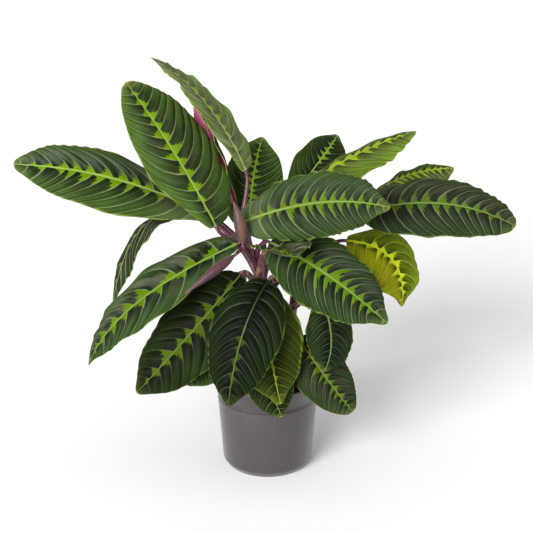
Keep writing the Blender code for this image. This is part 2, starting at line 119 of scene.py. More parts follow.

# Each leaf's curve from base to tip, the way it faces and its width. zone is how far out the
# feathering reaches, and light how pale the green is painted: partly the leaf's own tone, partly
# painted shade on leaves that lie in shadow and painted light on those in the lamp. The other
# words stand in for those above.
leaves = {
    "leaf_01_far_left": dict(
        base=(-83, 28, 370), middle=(-212, 6, 429), tip=(-343, -18, 456), face=(0.1, -0.3, 0.95),
        faceTip=(0.1, -0.95, 0.4), width=98, point=0.1, taper=(0.35, 0.35), fork=0.75, sweep=0.28,
        pleat=1.4, scallop=0.03, drip=4, zone=0.56, light=0.98, glow=1.22, fresh=0.1, early=1.0,
        spiky=0.5, plain=0.35, deep=0.95, paintedSheen=(0.1, 0.9), veining=0.65, ribWide=1.9),
    "leaf_02_upper_left": dict(
        base=(-71, -26, 369), middle=(-131, 0, 472), tip=(-196, 45, 556), face=(0.35, -0.95, 0.25),
        width=104, point=0.05, lean=0.13, taper=(0.5, 0.05), veins=12, sweep=0.28, pleat=1.4,
        zone=0.42, light=1.2, glow=0.98, fresh=0.1, paintedSheen=(0.1, 0.1), veining=0.62, tipColour=0.8),
    "leaf_03_top_left": dict(
        base=(-31, 12, 439), middle=(-86, 18, 534), tip=(-158, 30, 593), face=(0.4, -0.45, 0.7),
        faceTip=(0.9, -0.1, 0.45), width=68, lean=0.12, taper=(0.5, -0.2), arch=0.2, fork=0.95,
        sweep=0.26, pleat=1.5, scallop=0.05, ruffle=1.2, zone=0.34, light=2.05, glow=1.28,
        fresh=0.3, grey=0.3, brightTo=0.9, deep=0.95, paintedSheen=(0.9, 0.3), warm=0.9, veining=0.9,
        ribWide=2.0, tipColour=0.9),
    "leaf_04_behind_left": dict(
        base=(-45, 41, 384), middle=(-74, 50, 470), tip=(-104, 54, 527), face=(0.9, 0.4, 0.3),
        width=70, point=0.5, zone=0.35, light=1.5, under="pink"),
    "leaf_05_upright": dict(
        base=(-27, 40, 348), middle=(-21, 72, 411), tip=(-8, 100, 466), face=(0.0, -0.85, 0.5),
        width=90, fork=0.7, zone=0.3, light=1.1, glow=1.0, fresh=0.1),
    "leaf_06_behind_centre": dict(
        base=(27, 62, 379), middle=(73, 92, 430), tip=(101, 106, 468), face=(0.1, -0.7, 0.7),
        width=72, taper=(0.5, 0.15), shoot="right", zone=0.4, light=0.45, glow=0.85, fresh=0.1,
        brightFrom=0.55, veining=0.4),
    "leaf_07_top_right": dict(
        base=(34, 22, 406), middle=(126, 24, 461), tip=(204, 20, 493), face=(-0.35, -0.3, 0.9),
        width=66, lean=-0.08, arch=0.6, shoot="right", fork=0.95, veins=11, pleat=1.3,
        scallop=0.05, ruffle=1.5, zone=0.6, light=1.5, glow=1.05, fresh=0.45, spiky=0.4, deep=0.9,
        paintedSheen=(0.5, 0.1)),
    "leaf_08_front_centre": dict(
        base=(-38, -28, 375), middle=(63, -75, 417), tip=(155, -100, 419), face=(0.05, -0.8, 0.55),
        faceTip=(0.05, -0.9, 0.4), width=93, fork=0.9, veins=15, sweep=0.2, pleat=1.6,
        scallop=0.05, ruffle=2.0, drip=6, zone=0.6, light=0.78, glow=0.82, fresh=0.05, grey=0.1,
        spiky=1.0, contrast=0.92, plain=0.25, deep=1.0, paintedSheen=(0.6, 0.3), veining=0.85,
        ribWide=1.5, tipColour=0.4),
    "leaf_09_back_right": dict(
        base=(146, 60, 391), middle=(206, 82, 416), tip=(272, 102, 421), face=(-0.1, 0.2, 0.95),
        faceTip=(0.1, -0.65, 0.75), width=64, lean=0.4, taper=(0.75, 0.15), shoot="right",
        fork=0.9, pleat=1.3, ruffle=1.0, zone=0.6, light=1.3, glow=1.3, fresh=0.4,
        paintedSheen=(0.2, 0.6), warm=0.6),
    "leaf_10_right": dict(
        base=(130, 14, 379), middle=(243, 2, 395), tip=(343, -15, 368), face=(0.1, -0.65, 0.75),
        faceTip=(0.1, -0.8, 0.6), width=94, point=0.0, taper=(0.2, 0.0), shoot="right", fork=0.95,
        sweep=0.24, pleat=1.6, scallop=0.03, ruffle=1.2, zone=0.46, light=0.45, glow=0.9, grey=0.3,
        spiky=0.3, contrast=0.72, deep=0.95, paintedSheen=(0.7, 0.2), warm=0.8, veining=0.85),
    "leaf_11_lower_right": dict(
        base=(112, 10, 338), middle=(176, 5, 313), tip=(192, -10, 251), face=(0.4, -0.7, 0.6),
        width=112, point=0.4, lean=-0.1, taper=(0.6, 0.15), shoot="right", veins=9, pleat=1.4,
        drip=5, zone=0.34, light=1.7, glow=1.85, fresh=1.0, spiky=0.2, contrast=0.85, deep=0.9,
        veining=1.0, ribWide=1.5, burn=1),
    "leaf_12_front_right": dict(
        base=(3, -36, 350), middle=(78, -95, 324), tip=(153, -140, 275), face=(0.1, -0.85, 0.5),
        width=102, sweep=0.24, pleat=1.6, scallop=0.04, ruffle=1.4, drip=6, zone=0.66, light=0.65,
        grey=0.05, spiky=1.0, deep=0.85, paintedSheen=(0.7, 0.2), veining=0.65, ribWide=1.3,
        tipColour=0.0),
    "leaf_13_toward_front": dict(
        base=(6, -62, 348), middle=(20, -96, 353), tip=(37, -128, 359), face=(0.0, 0.1, 1.0),
        width=84, taper=(0.1, 0.3), fold=0.42, arch=0.1, fork=0.7, veins=9, pleat=1.4,
        scallop=0.05, ruffle=2.0, zone=0.3, light=0.62, glow=2.2, grey=0.1, paintedSheen=(0.95, 0.95),
        warm=0.7, veining=1.0, under="green"),
    "leaf_14_low_right": dict(
        base=(76, -50, 270), middle=(88, -72, 222), tip=(80, -80, 178), face=(0.2, -0.9, 0.4),
        width=68, shoot="front", fork=0.95, veins=10, scallop=0.03, zone=0.1, light=0.36, glow=0.8,
        contrast=0.5, paintedSheen=(0.15, 0.15), veining=0.6),
    "leaf_15_low_right_tip": dict(
        base=(43, -50, 214), middle=(79, -72, 167), tip=(118, -85, 118), face=(0.2, -0.9, 0.4),
        width=78, point=0.0, shoot="front", veins=12, zone=0.42, light=0.55, glow=0.68, grey=0.15,
        spiky=0.6, deep=1.0, paintedSheen=(0.5, 0.3), warm=0.9, veining=0.55),
    "leaf_16_front_dark": dict(
        base=(1, -66, 305), middle=(-34, -115, 244), tip=(-53, -140, 153),
        face=(-0.25, -0.85, 0.5), width=104, fork=0.4, veins=11, pleat=1.2, scallop=0.02,
        zone=0.22, light=0.19, glow=0.48, brightFrom=0.5, contrast=0.5, paintedSheen=(0.08, 0.08),
        veining=0.45, rib=0.8, ribFrom=0.3),
    "leaf_17_front_bright": dict(
        base=(-2, -62, 287), middle=(3, -95, 221), tip=(17, -105, 142), face=(0.1, -0.9, 0.4),
        width=98, shoot="front", fork=0.98, drip=5, zone=0.14, light=0.46, glow=0.8, fresh=0.55,
        veining=0.5, ribFrom=0.45, ribWide=1.6, rimWide=0.09),
    "leaf_18_low_centre": dict(
        base=(-8, -66, 212), middle=(3, -88, 161), tip=(19, -94, 115), face=(0.0, -0.95, 0.3),
        width=68, shoot="front", fork=0.7, veins=9, zone=0.25, light=0.4, glow=0.7, fresh=0.1,
        contrast=0.6, veining=0.95, tipColour=1.0),
    "leaf_19_low_left": dict(
        base=(-38, -40, 304), middle=(-107, -75, 230), tip=(-181, -90, 149),
        face=(-0.35, -0.85, 0.3), width=106, fork=0.45, veins=10, sweep=0.26, scallop=0.02,
        zone=0.4, light=0.3, glow=0.44, fresh=0.1, spiky=0.4, veining=0.35, tipColour=0.9),
    "leaf_20_behind_low_left": dict(
        base=(-50, -35, 265), middle=(-82, -50, 195), tip=(-113, -56, 146), face=(-0.2, -0.9, 0.4),
        width=74, fork=0.3, zone=0.3, light=1.1),
    "leaf_21_long_left": dict(
        base=(-41, -42, 350), middle=(-178, -78, 277), tip=(-246, -90, 191),
        face=(-0.2, -0.62, 0.68), faceTip=(-0.2, -0.45, 0.8), width=84, point=0.3, lean=0.1,
        taper=(0.6, 0.1), widest=0.6, blunt=0.65, fork=0.75, veins=9, sweep=0.22, pleat=1.5,
        ruffle=1.2, zone=0.52, light=0.92, glow=0.86, early=1.0, spiky=0.6, paintedSheen=(0.2, 0.8),
        warm=0.5, tipColour=0.6),
    "leaf_22_hanging_left": dict(
        base=(-98, 35, 367), middle=(-180, 40, 349), tip=(-227, 38, 234), face=(-0.3, 0.3, 0.9),
        faceTip=(-0.8, -0.5, 0.3), width=66, fork=0.7, veins=10, pleat=1.4, scallop=0.02,
        ruffle=1.0, zone=0.3, light=0.33, glow=1.9, grey=0.2, contrast=0.4, paintedSheen=(0.6, 0.6),
        warm=1.0, veining=0.9, tipColour=0.5),
    "leaf_23_back_left": dict(
        base=(-6, 84, 335), middle=(-12, 150, 372), tip=(-8, 215, 372), face=(0.0, 0.2, 1.0),
        width=76, shoot="back", fork=0.9, zone=0.45, light=0.95, fresh=0.1, grey=0.05,
        paintedSheen=(0.3, 0.3)),
    "leaf_24_back_top": dict(
        base=(30, 84, 330), middle=(80, 150, 372), tip=(130, 220, 372), face=(0.1, 0.3, 1.0),
        width=92, shoot="back", fork=0.95, zone=0.45, light=1.0, fresh=0.2, paintedSheen=(0.2, 0.3)),
    "leaf_25_back_right": dict(
        base=(50, 74, 270), middle=(120, 125, 290), tip=(190, 165, 255), face=(0.1, 0.3, 1.0),
        width=96, shoot="back", zone=0.4, light=0.85, grey=0.05, paintedSheen=(0.3, 0.2)),
    "leaf_26_back_low_right": dict(
        base=(34, 85, 260), middle=(80, 130, 235), tip=(120, 165, 175), face=(0.4, 0.8, 0.5),
        width=90, shoot="back", fork=0.6, zone=0.35, light=0.85, fresh=0.1, grey=0.1,
        paintedSheen=(0.2, 0.2)),
    "leaf_27_back_low_left": dict(
        base=(-41, 85, 265), middle=(-96, 130, 221), tip=(-135, 160, 145), face=(-0.4, 0.8, 0.5),
        width=90, shoot="back", fork=0.6, zone=0.45, light=0.85, fresh=0.2, paintedSheen=(0.2, 0.3)),
}
for name, own in leaves.items():
    leaves[name] = {**bladeShape, **leafLook, **own}

youngLeaves = {
    "young_leaf_up": dict(
        points=((-34, -51, 352), (-38, -52, 382), (-46, -48, 411)),
        radius=9.0, shoot="left", fork=0.8, skin="youngLeafUp", dark=(54, 26, 32),
        pale=(98, 66, 52), split=0.79, seam=3.6),
    "young_leaf_down": dict(
        points=((-45, -66, 341), (-71, -88, 326), (-111, -104, 299)),
        radius=7.5, shoot="left", fork=0.9, skin="youngLeafDown", dark=(50, 22, 30),
        pale=(72, 34, 42), split=0.55, seam=2.0),
}


def tint(red, green, blue):
    # a screen colour, 0 to 255, as the shader's linear one
    made = []
    for part in (red, green, blue):
        share = part / 255
        made.append(share / 12.92 if share < 0.04045 else ((share + 0.055) / 1.055) ** 2.4)
    return (*made, 1.0)


def put(socket, value):
    if isinstance(value, bpy.types.NodeSocket):
        socket.id_data.links.new(value, socket)
    else:
        socket.default_value = value


# The material that is being painted. The helpers below add their nodes to it.
painting = {}


def addNode(kind, inputs=None, **settings):
    made = painting["tree"].nodes.new(kind)
    for key, value in settings.items():
        setattr(made, key, value)
    for key, value in (inputs or {}).items():
        put(made.inputs[key], value)
    return made


def maths(operation, *values, clamp=False):
    made = addNode("ShaderNodeMath", operation=operation, use_clamp=clamp)
    for socket, value in zip(made.inputs, values):
        put(socket, value)
    return made.outputs[0]


def times(first, second):
    return maths("MULTIPLY", first, second)


def timesPlus(first, second, added):
    return maths("MULTIPLY_ADD", first, second, added)


def minus(first, second):
    return maths("SUBTRACT", first, second)


def fade(value, low, high, toLow=0.0, toHigh=1.0):
    # runs smoothly from toLow to toHigh as value goes from low to high
    made = addNode("ShaderNodeMapRange", interpolation_type="SMOOTHSTEP")
    for key, number in zip(("Value", "From Min", "From Max", "To Min", "To Max"),
                           (value, low, high, toLow, toHigh)):
        put(made.inputs[key], number)
    return made.outputs["Result"]


def blend(share, first, second):
    made = addNode("ShaderNodeMix", data_type="RGBA")
    for place, value in ((0, share), (6, first), (7, second)):  # the colour mix's own sockets
        put(made.inputs[place], value)
    return made.outputs[2]


def ramp(value, stops):
    # stops are (place, height) along a curve of straight pieces
    made = addNode("ShaderNodeValToRGB", {"Fac": value})
    points = made.color_ramp.elements
    while len(points) < len(stops):
        points.new(0.5)
    for point, (place, height) in zip(points, stops):
        point.position = place
        point.color = (height, height, height, 1.0)
    return made.outputs["Color"]


def cloud(at, scale, detail=3.0, rough=0.5):
    # a cloudy pattern from 0 to 1; its scale is per metre where at is a place on the piece
    made = addNode("ShaderNodeTexNoise",
                   {"Vector": at, "Scale": scale, "Detail": detail, "Roughness": rough})
    return made.outputs["Fac"]


def mapUv(name):
    made = addNode("ShaderNodeUVMap", uv_map=name)
    split = addNode("ShaderNodeSeparateXYZ", {"Vector": made.outputs["UV"]})
    return split.outputs["X"], split.outputs["Y"]


def vector(x, y, z=0.0):
    return addNode("ShaderNodeCombineXYZ", {"X": x, "Y": y, "Z": z}).outputs["Vector"]


def stretched(spot, scale):
    made = addNode("ShaderNodeMapping", {"Vector": spot, "Scale": scale})
    return made.outputs["Vector"]


def heightOf(spot):
    return addNode("ShaderNodeSeparateXYZ", {"Vector": spot}).outputs["Z"]


def lit(colour, amount):
    if isinstance(colour, tuple):
        colour = colour[:3]
    made = addNode("ShaderNodeVectorMath", {0: colour, "Scale": amount}, operation="SCALE")
    return made.outputs["Vector"]


def startMaterial(name, **constants):
    # the constants are set on the shader's own sockets; the last value is the place on the piece
    material = bpy.data.materials.new(name)
    material.use_nodes = True
    painting["tree"] = material.node_tree
    shader = material.node_tree.nodes["Principled BSDF"]
    for key, value in constants.items():
        shader.inputs[key.replace("_", " ")].default_value = value
    return material, shader, addNode("ShaderNodeTexCoord").outputs["Object"]


def dress(shader, colour, roughBy, relief, paint):
    # joins the colour, the roughness and the relief to the shader
    put(shader.inputs["Base Color"], colour)
    put(shader.inputs["Roughness"], timesPlus(roughBy, *paint["rough"]))
    made = addNode("ShaderNodeBump",
                   {"Height": relief, "Distance": paint["relief"], "Strength": paint["strength"]})
    put(shader.inputs["Normal"], made.outputs["Normal"])


# The greens as the eye reads them on a screen: a grown leaf's, then a fresh yellow one's.
leafShades = dict(
    dark=(tint(19, 30, 15), tint(72, 84, 8)), outer=(tint(54, 80, 28), tint(100, 122, 12)),
    bright=(tint(89, 121, 2), tint(150, 164, 28)), core=(tint(134, 159, 88), tint(150, 164, 28)),
    vein=(tint(130, 147, 108), tint(150, 164, 60)),
    margin=(tint(120, 142, 58), tint(150, 164, 60)),
    shine=(tint(90, 101, 85), tint(104, 100, 76)),  # the painted sheen, a painted reflection; the second is the brown one
)
leafColours = dict(
    deep=tint(6, 10, 6), burn=tint(120, 78, 12), amber=tint(146, 142, 12), plain=tint(94, 110, 68),
    tip=tint(190, 150, 30), dustAndSheen=tint(98, 106, 82),
)

# How the upper side is painted. Places across a half run from 0 at the midrib to 1 at the margin.
leafPaint = dict(
    wobble=0.12,  # how far a side vein wanders between its neighbours
    toothLength=(0.85, 0.45),  # how much the teeth differ, and the shortest
    toothReach=0.95,
    bandReach=0.07,  # the bright band that the teeth stand on
    ragged=0.028, edge=(-0.012, 0.014),
    ends=0.15,  # how softly the feathering starts and ends along the leaf
    patch=0.48, outer=(0.10, 0.95), shineGrain=(3.0, 1.6), fineGrain=(9.0, 2.5),
    blotch=(0.44, 0.66),  # how unevenly the leaf is lit, and the least
    veinWidth=0.0066, secondVein=0.10,
    ribWidth=(-0.9, 1.25),  # how fast the midrib narrows, and its half width at the base, in mm
    ribEnds=0.25, margin=(0.955, 0.98), marginShare=0.75, marginGlow=1.05, rough=(0.2, 0.42),
    relief=0.0014, strength=0.8,
)

# One tooth for each side vein, cut steep on the near side and stepped on the far side.
toothStops = [(0.0, 1.0), (0.04, 0.80), (0.12, 0.60), (0.19, 0.52), (0.25, 0.66), (0.31, 0.40),
              (0.42, 0.30), (0.47, 0.38), (0.54, 0.17), (0.70, 0.05), (0.97, 0.0), (1.0, 0.95)]
spikyStops = [(0.0, 1.0), (0.07, 0.84), (0.15, 0.62), (0.20, 0.54), (0.26, 0.62), (0.30, 0.26),
              (0.40, 0.14), (0.46, 0.34), (0.53, 0.10), (0.74, 0.02), (0.97, 0.0), (1.0, 0.95)]
# How far the feathering reaches along the leaf, past its base.
reachStops = [(0.35, 1.0), (0.72, 0.9), (0.92, 0.5), (1.0, 0.1)]


def spread(vein, out, grain, number=0.0):
    # a place for the patterns that follow the side veins
    return vector(times(vein, grain[0]), times(out, grain[1]), number)


def veinGap(vein):
    # how far a place is from the nearest side vein
    nearest = maths("FRACT", maths("ADD", vein, 0.5))
    return maths("ABSOLUTE", minus(nearest, 0.5))


def leafTop(name, leaf, number):
    paint = leafPaint
    fresh = leaf["fresh"]
    material, shader, spot = startMaterial(name, Specular_IOR_Level=0.05)
    vein, across = mapUv("veins")
    along, offset = mapUv("place")
    out = maths("ABSOLUTE", across)
    side = maths("GREATER_THAN", across, 0.0)

    # The side veins wander a little, and each bears a tooth of its own length.
    wobble = minus(cloud(spot, 90.0, 2.0), 0.5)
    wavy = timesPlus(wobble, paint["wobble"], vein)
    tooth = maths("FRACT", wavy)
    count = maths("FLOOR", wavy)
    chance = addNode("ShaderNodeTexWhiteNoise",
                     {"Vector": vector(count, side, float(number))}).outputs["Value"]
    stops = [(0.0, leaf["early"]), (0.10, max(leaf["early"], 0.5)), *reachStops]
    reach = times(ramp(along, stops), leaf["zone"])
    ends = paint["ends"]
    if leaf["brightFrom"]:
        start = leaf["brightFrom"]
        reach = times(reach, fade(along, start - ends, start + ends))
    if leaf["brightTo"]:
        end = leaf["brightTo"]
        reach = times(reach, fade(along, end + ends, end - ends, 0.2))
    length = timesPlus(chance, *paint["toothLength"])
    thin = leaf["spiky"]
    stops = [(place + (thinPlace - place) * thin, size + (thinSize - size) * thin)
             for (place, size), (thinPlace, thinSize) in zip(toothStops, spikyStops)]
    spikes = times(ramp(tooth, stops), length)
    ragged = minus(cloud(spot, 260.0, 2.0), 0.5)
    edge = times(reach, timesPlus(spikes, paint["toothReach"], paint["bandReach"]))
    edge = timesPlus(ragged, paint["ragged"], edge)
    past = minus(out, edge)  # how far outside the feathering
    bright = fade(past, *paint["edge"], leaf["contrast"], 0.0)

    # The green ground, darker by the feathering and paler outwards.
    outerShade = blend(fresh, *leafShades["outer"])
    patch = cloud(spot, 26.0, 4.0, 0.6)
    outward = maths("ADD", fade(past, *paint["outer"]), timesPlus(patch, 1.0, -paint["patch"]),
                    clamp=True)
    ground = blend(outward, blend(fresh, *leafShades["dark"]), outerShade)
    # Painted sheen: grey streaks of painted reflection between the side veins, more on the lit
    # half.
    near, far = leaf["paintedSheen"]
    shine = cloud(spread(vein, out, paint["shineGrain"], number + 0.5), 1.0, 2.0)
    shine = times(fade(shine, 0.36, 0.62), fade(out, 0.98, 0.6))
    shine = times(shine, timesPlus(side, far - near, near))
    ground = blend(shine, ground, blend(leaf["warm"], *leafShades["shine"]))
    # The dark panels, which end softly at the next side vein: own pattern and painted pleat shade.
    panel = times(fade(tooth, 0.10, 0.95, 0.05, leaf["deep"]), fade(past, 0.55, 0.0, 0.25, 1.0))
    ground = blend(panel, ground, leafColours["deep"])
    fine = cloud(spread(vein, out, paint["fineGrain"], float(number)), 1.0, 3.0, 0.6)
    ground = blend(fade(fine, 0.35, 0.75, 0.0, 0.25), ground, outerShade)
    if leaf["plain"]:
        pale = times(fade(along, leaf["plain"], leaf["plain"] * 0.3), timesPlus(patch, 0.6, 0.3))
        ground = blend(pale, ground, leafColours["plain"])

    # Painted light and shade: light darkens or pales the green, partly as painted shade, and glow
    # brightens the feathering and the veins, partly as painted light through the leaf.
    blotch = timesPlus(patch, *paint["blotch"])
    low = times(blotch, leaf["light"])
    glow = leaf["glow"] or leaf["light"] ** 0.5
    high = times(blotch, glow)

    def glowing(shade):
        return lit(blend(fresh, *leafShades[shade]), high)

    colour = blend(bright, lit(ground, low), glowing("bright"))
    # Pale side veins with fainter ones between, then the midrib, the margin and the tip.
    line = fade(veinGap(wavy), 0.0, paint["veinWidth"] * leaf["veins"], 1.0, 0.0)
    faint = fade(cloud(spot, 40.0, 2.0), 0.3, 0.6, 0.55, 1.0)
    line = times(line, times(faint, leaf["veining"]))
    middle = maths("ABSOLUTE", minus(tooth, 0.5))
    second = fade(middle, 0.0, 0.05, paint["secondVein"], 0.0)
    lines = times(maths("MAXIMUM", line, second), fade(out, 0.02, 0.25))
    colour = blend(lines, colour, glowing("vein"))
    narrowing, broad = paint["ribWidth"]
    thick = timesPlus(along, narrowing * leaf["ribWide"], broad * leaf["ribWide"])
    rib = fade(minus(maths("ABSOLUTE", offset), thick), -0.5, 0.5, leaf["rib"], 0.0)
    if leaf["ribFrom"]:
        start, ends = leaf["ribFrom"], paint["ribEnds"]
        rib = times(rib, fade(along, start - ends, start + ends, 0.15))
    colour = blend(rib, colour, glowing("core"))
    inner, outer = paint["margin"]
    rimShade = lit(blend(fresh, *leafShades["margin"]),
                   times(blotch, min(glow, paint["marginGlow"])))
    rim = times(fade(out, inner - leaf["rimWide"], outer), paint["marginShare"])
    colour = blend(rim, colour, rimShade)
    end = timesPlus(patch, 0.03, along)
    colour = blend(fade(end, 0.93, 1.01, 0.0, 0.25), colour, rimShade)
    colour = blend(fade(end, 1.0, 1.014, 0.0, leaf["tipColour"]), colour, leafColours["tip"])
    # A grey veil over the leaf: dust, and a painted sheen.
    colour = blend(leaf["grey"] * 0.6, colour, lit(leafColours["dustAndSheen"], low))
    if leaf["burn"]:
        # One half has turned amber, with a scorched margin.
        half = times(across, leaf["burn"])
        amber = times(fade(half, 0.04, 0.3), fade(lines, 0.5, 0.1, 0.1, 0.38))
        colour = blend(amber, colour, lit(leafColours["amber"], high))
        burnt = fade(cloud(spot, 34.0, 2.0), 0.44, 0.56)
        burnt = times(burnt, fade(half, 0.5, 0.85))
        colour = blend(burnt, colour, leafColours["burn"])

    # The relief: the blade swells between the side veins, over a fine grain.
    grain = cloud(spot, 900.0)
    swell = maths("SINE", times(tooth, math.pi))
    relief = timesPlus(grain, 0.10, times(lines, -0.3))
    relief = timesPlus(fine, 0.2, relief)
    relief = timesPlus(swell, fade(out, 0.02, 0.3), relief)
    dress(shader, colour, grain, relief, paint)
    return material


# The underside, and how much of it is pink or green.
underPaint = dict(
    purple=tint(100, 44, 62), pink=tint(196, 92, 136), vein=tint(138, 82, 92),
    greenish=tint(84, 84, 58), green=tint(54, 80, 28), margin=tint(120, 142, 58),
    fineGrain=(8.0, 2.0), rough=(0.25, 0.35), relief=0.0005, strength=0.5,
)


def leafUnder(name, pink, green=0.0):
    paint = underPaint
    material, shader, spot = startMaterial(name, Specular_IOR_Level=0.12)
    vein, across = mapUv("veins")
    along = mapUv("place")[0]
    out = maths("ABSOLUTE", across)
    patch = cloud(spot, 30.0, 4.0, 0.6)
    fine = cloud(spread(vein, out, paint["fineGrain"]), 1.0)
    line = fade(veinGap(vein), 0.02, 0.07, 0.6, 0.0)
    colour = blend(pink, paint["purple"], paint["pink"])
    for share, shade in ((fade(patch, 0.45, 0.8, 0.0, 0.5), paint["greenish"]),
                         (line, paint["vein"]), (fade(fine, 0.4, 0.8, 0.0, 0.35), paint["vein"]),
                         (fade(out, 0.95, 0.99, 0.0, 0.6), paint["margin"]),
                         (fade(along, 0.93, 0.97, 0.0, pink), leafColours["tip"]),
                         (green, paint["green"])):
        colour = blend(share, colour, shade)
    dress(shader, colour, fine, maths("ADD", line, fine), paint)
    return material


# The stalks, purple with dry tan streaks below a certain height.
stemPaint = dict(
    streakStretch=(260.0, 260.0, 22.0), streak=tint(58, 28, 34),
    tanFrom=(0.36, 0.32),  # metres up, from where they start to where they are full
    tanShare=0.8, rough=(0.3, 0.28), relief=0.0005, strength=0.6,
)


def stemMaterial(name, low, high, dry):
    # low is the colour at the foot of a stalk, high the one at its leaf
    paint = stemPaint
    material, shader, spot = startMaterial(name, Specular_IOR_Level=0.5, Coat_Weight=0.15,
                                           Coat_Roughness=0.3)
    along = mapUv("tube")[0]
    streak = cloud(stretched(spot, paint["streakStretch"]), 1.0, 4.0, 0.6)
    patch = cloud(spot, 45.0)
    colour = blend(fade(along, 0.1, 0.8), low, high)
    colour = blend(fade(streak, 0.5, 0.72, 0.0, 0.55), colour, paint["streak"])
    tan = times(fade(streak, 0.49, 0.57), fade(heightOf(spot), *paint["tanFrom"]))
    tan = times(tan, fade(patch, 0.42, 0.55))
    colour = blend(times(tan, paint["tanShare"]), colour, dry)
    dress(shader, colour, streak, streak, paint)
    return material


def meshOf(name, work):
    mesh = bpy.data.meshes.new(name)
    work.to_mesh(mesh)
    work.free()
    return mesh


def placed(name, data):
    made = bpy.data.objects.new(name, data)
    bpy.context.scene.collection.objects.link(made)
    return made


def finish(name, work, materials, node):
    # a piece that rides on the plant and stands for its solid
    mesh = meshOf(name, work)
    for material in materials:
        mesh.materials.append(material)
    for face in mesh.polygons:
        face.use_smooth = True
    piece = placed(name, mesh)
    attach(piece, "root")
    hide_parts(node)
    return piece


def evaluated(thing):
    # the object with its modifiers worked out
    bpy.context.view_layer.update()
    return thing.evaluated_get(bpy.context.evaluated_depsgraph_get())


def thicken(thing, thickness):
    made = thing.modifiers.new("thickness", "SOLIDIFY")
    made.thickness = thickness * mm
    made.offset = 0.0
    return made


def shares(steps):
    return [step / steps for step in range(steps + 1)]


def between(ends, share):
    return ends[0] + (ends[1] - ends[0]) * share


def ease(value, low, high):
    share = min(max((value - low) / (high - low), 0.0), 1.0)
    return share * share * (3 - 2 * share)


def hump(share):
    # up from nothing at 0 and back to nothing at 1
    return max(math.sin(math.pi * share), 0.0)


def squared(side, heading):
    # turned square to the heading
    return (side - side.dot(heading) * heading).normalized()


def roundAt(point, heading, side, turn, radius):
    return point + (side * math.cos(turn) + heading.cross(side) * math.sin(turn)) * radius


def mapBy(faces, layer, seen):
    for face in faces:
        for loop in face.loops:
            loop[layer].uv = seen[loop.vert]


def onCurve(start, middle, tip, along):
    start, middle, tip = Vector(start), Vector(middle), Vector(tip)
    control = 2 * middle - (start + tip) / 2
    point = (1 - along) ** 2 * start + 2 * along * (1 - along) * control + along ** 2 * tip
    heading = (1 - along) * (control - start) + along * (tip - control)
    return point, heading.normalized()


def halfWidth(leaf, along, across):
    blunt = leaf["blunt"] + leaf["point"] * ease(along, leaf["pointFrom"], 1.0)
    swell = hump(along ** leaf["widest"]) ** blunt
    taper = leaf["taper"][1 if across > 0 else 0]
    swell *= 1.0 - taper * (1.0 - ease(along, 0.0, leaf["taperTo"]))
    narrow = between(leaf["ends"], along)
    half = (narrow + (leaf["width"] - narrow) * swell) / 2
    return half * (1.0 + math.copysign(leaf["lean"], across))


def turnOf(leaf, number, vein, side):
    # counts the side veins of one half from the base; it is whole on each vein
    turn = vein * leaf["veins"] + (leaf["sideShift"] if side > 0 else 0.0)
    at = Vector((turn * 0.55, number * 3.7, 5.0 + 4.0 * side))
    return turn + leaf["uneven"] * noise.noise(at)


def bladeFrame(leaf, along):
    point, heading = onCurve(leaf["base"], leaf["middle"], leaf["tip"], along)
    face = Vector(leaf["face"]).lerp(Vector(leaf["faceTip"] or leaf["face"]), along)
    return point, heading, squared(face, heading)


def bladePoint(leaf, number, along, across, vein):
    point, heading, up = bladeFrame(leaf, along)
    side = heading.cross(up)
    half = halfWidth(leaf, along, across)
    out = abs(across)
    lift = leaf["fold"] * out - leaf["arch"] * across ** 2
    byLeaf, byHalf = leaf["wavePhase"]
    phase = number * byLeaf + (byHalf if across > 0 else 0.0)
    ripple = leaf["wave"] * across ** 2 * hump(along) ** 0.5
    ripple *= math.sin(math.tau * leaf["waves"] * along + phase)
    # Between its side veins the blade swells up and its margin stands out.
    turn = turnOf(leaf, number, vein, 1 if across > 0 else -1)
    ridge = abs(math.sin(math.pi * turn)) ** 0.8 - 0.55
    room = ease(half, *leaf["fullFrom"])
    pleat = leaf["pleat"] * ridge * ease(out, *leaf["pleatFrom"]) * room
    groove = -leaf["grooveDepth"] * math.exp(-(out * half / leaf["grooveWidth"]) ** 2) * room
    # The margin waves too, unevenly from vein to vein.
    uneven = noise.noise(Vector((turn * 0.6, float(number), 3.0 if across > 0 else 7.0)))
    ruffle = leaf["ruffle"] * out ** 5 * math.sin(math.pi * turn + 2.0 * uneven) * room
    wave = 0.8 * uneven - 0.5 * math.cos(math.tau * turn)
    wide = across * half * (1 + leaf["scallop"] * wave * out ** 6 * room)
    point = point + heading * leaf["drip"] * ease(along, leaf["dripFrom"], 1.0) ** 2
    return point + side * wide + up * (lift * half + ripple + pleat + groove + ruffle)


def alongOf(leaf, vein, across):
    # a side vein that leaves the midrib at vein is this far along once it is across
    out = abs(across)
    reach = leaf["sweep"] * (0.5 * out + 0.5 * out ** leaf["sweepBend"])
    low, high = 0.0, 1.0
    for step in range(24):
        along = (low + high) / 2
        if along - reach * hump(along ** leaf["sweepEnds"]) < vein:
            low = along
        else:
            high = along
    return (low + high) / 2


